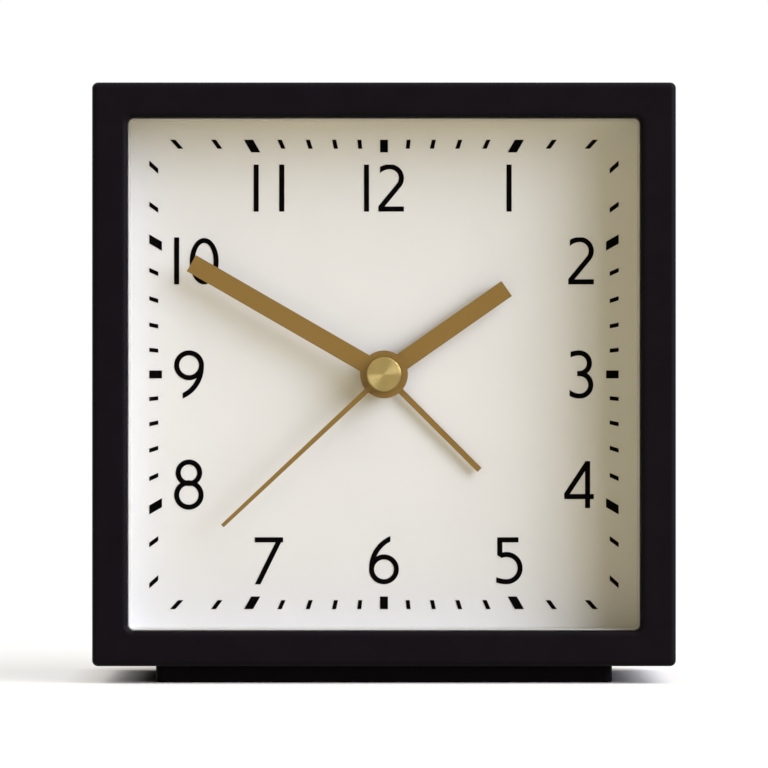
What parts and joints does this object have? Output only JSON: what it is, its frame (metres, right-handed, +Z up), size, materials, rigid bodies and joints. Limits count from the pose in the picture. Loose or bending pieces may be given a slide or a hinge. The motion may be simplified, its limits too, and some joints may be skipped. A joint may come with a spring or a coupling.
{
  "type": "table alarm clock",
  "caption": "Square table alarm clock on a low plinth, with a sunken cream dial, brass hands, a geared quartz movement, setting knobs and a battery door at the back.",
  "frame": {"origin": "middle of the plinth's underside, on the surface that the clock stands on", "axes": "+X to the viewer's right, +Y from the dial to the back, +Z up"},
  "size_m": [0.1, 0.042, 0.103],
  "materials": {
    "case_black": "fine matt spark-eroded texture",
    "plinth_black": "matt",
    "cover_black": "matt moulded",
    "knob_black": "satin, grooved",
    "switch_cream": "satin",
    "lens_clear": "clear, polished",
    "dial_cream": "matt paint",
    "spacer_cream": "matt",
    "print_black": "matt ink",
    "hand_brass": "satin, grained",
    "cap_brass": "turned",
    "screw_steel": "zinc plated",
    "movement_grey": "moulded",
    "wheel_white": "moulded acetal",
    "magnet_grey": "sintered",
    "stator_steel": "bright annealed",
    "bobbin_black": "moulded",
    "winding_copper": "enamelled copper wire",
    "board_green": "solder mask",
    "chip_black": "potting compound",
    "contact_steel": "nickel plated",
    "disc_brass": "rolled",
    "cell_wrap": "plain printed sleeve"
  },
  "bodies": {
    "clock_body": {"case_shell": "case_black", "plinth": "plinth_black", "plinth_screws": "screw_steel", "lens": "lens_clear", "dial_spacer": "spacer_cream", "dial_plate": "dial_cream", "hour_numerals": "print_black", "minute_track": "print_black", "back_cover": "cover_black", "cover_screws": "screw_steel", "front_plate": "movement_grey", "mid_plate": "movement_grey", "rear_housing": "movement_grey", "movement_screws": "screw_steel", "stator": "stator_steel", "coil_core": "stator_steel", "coil_bobbin": "bobbin_black", "coil_winding": "winding_copper", "circuit_board": "board_green", "quartz_crystal": "contact_steel", "driver_chip": "chip_black", "sounder_case": "bobbin_black", "sounder_disc": "disc_brass", "alarm_contact_spring": "contact_steel", "battery": "cell_wrap", "positive_contact": "contact_steel", "negative_contact": "contact_steel"},
    "second_hand_body": {"second_wheel": "wheel_white", "second_hand": "hand_brass", "second_hand_cap": "cap_brass"},
    "intermediate_body": {"intermediate_wheel": "wheel_white"},
    "rotor_body": {"rotor_arbor": "wheel_white", "rotor_magnet": "magnet_grey"},
    "third_body": {"third_wheel": "wheel_white"},
    "centre_body": {"centre_wheel": "wheel_white"},
    "minute_hand_body": {"cannon_pinion": "wheel_white", "minute_hand": "hand_brass"},
    "time_setter_body": {"minute_wheel": "wheel_white", "time_set_knob": "knob_black"},
    "hour_hand_body": {"hour_wheel": "wheel_white", "hour_hand": "hand_brass"},
    "alarm_hand_body": {"alarm_wheel": "wheel_white", "alarm_hand": "hand_brass"},
    "alarm_setter_body": {"alarm_set_arbor": "wheel_white", "alarm_set_knob": "knob_black"},
    "alarm_switch_body": {"alarm_switch": "switch_cream"},
    "battery_door_body": {"battery_door": "cover_black"}
  },
  "joints": [
    {"name": "second_hand_turn", "type": "hinge", "parent": "clock_body", "child": "second_hand_body", "pos_m": [0, 0, 0.053], "axis": [0, 1, 0], "continuous": true},
    {"name": "intermediate_turn", "type": "hinge", "parent": "clock_body", "child": "intermediate_body", "pos_m": [0, 0, 0.063], "axis": [0, 1, 0], "continuous": true},
    {"name": "rotor_turn", "type": "hinge", "parent": "clock_body", "child": "rotor_body", "pos_m": [0, 0, 0.07], "axis": [0, 1, 0], "continuous": true},
    {"name": "third_turn", "type": "hinge", "parent": "clock_body", "child": "third_body", "pos_m": [0, 0, 0.043], "axis": [0, 1, 0], "continuous": true},
    {"name": "centre_turn", "type": "hinge", "parent": "clock_body", "child": "centre_body", "pos_m": [0, 0, 0.053], "axis": [0, 1, 0], "continuous": true},
    {"name": "minute_hand_turn", "type": "hinge", "parent": "clock_body", "child": "minute_hand_body", "pos_m": [0, 0, 0.053], "axis": [0, 1, 0], "continuous": true},
    {"name": "time_setter_turn", "type": "hinge", "parent": "clock_body", "child": "time_setter_body", "pos_m": [0.011, 0, 0.053], "axis": [0, 1, 0], "continuous": true},
    {"name": "hour_hand_turn", "type": "hinge", "parent": "clock_body", "child": "hour_hand_body", "pos_m": [0, 0, 0.053], "axis": [0, 1, 0], "continuous": true},
    {"name": "alarm_hand_turn", "type": "hinge", "parent": "clock_body", "child": "alarm_hand_body", "pos_m": [0, 0, 0.053], "axis": [0, 1, 0], "continuous": true},
    {"name": "alarm_setter_turn", "type": "hinge", "parent": "clock_body", "child": "alarm_setter_body", "pos_m": [-0.0112, 0, 0.053], "axis": [0, 1, 0], "continuous": true},
    {"name": "alarm_switch_slide", "type": "slide", "parent": "clock_body", "child": "alarm_switch_body", "axis": [1, 0, 0], "range_m": [0, 0.004]},
    {"name": "battery_door_swing", "type": "hinge", "parent": "clock_body", "child": "battery_door_body", "pos_m": [0, 0.00975, 0.01748], "axis": [-1, 0, 0], "range_deg": [0, 90]}
  ],
  "couplings": [
    {"joint": "intermediate_turn", "follows": "second_hand_turn", "ratio": -5},
    {"joint": "rotor_turn", "follows": "second_hand_turn", "ratio": 30},
    {"joint": "third_turn", "follows": "second_hand_turn", "ratio": -0.125},
    {"joint": "centre_turn", "follows": "second_hand_turn", "ratio": 0.016667},
    {"joint": "time_setter_turn", "follows": "minute_hand_turn", "ratio": -0.33333},
    {"joint": "hour_hand_turn", "follows": "minute_hand_turn", "ratio": 0.083333},
    {"joint": "alarm_setter_turn", "follows": "alarm_hand_turn", "ratio": -3}
  ]
}
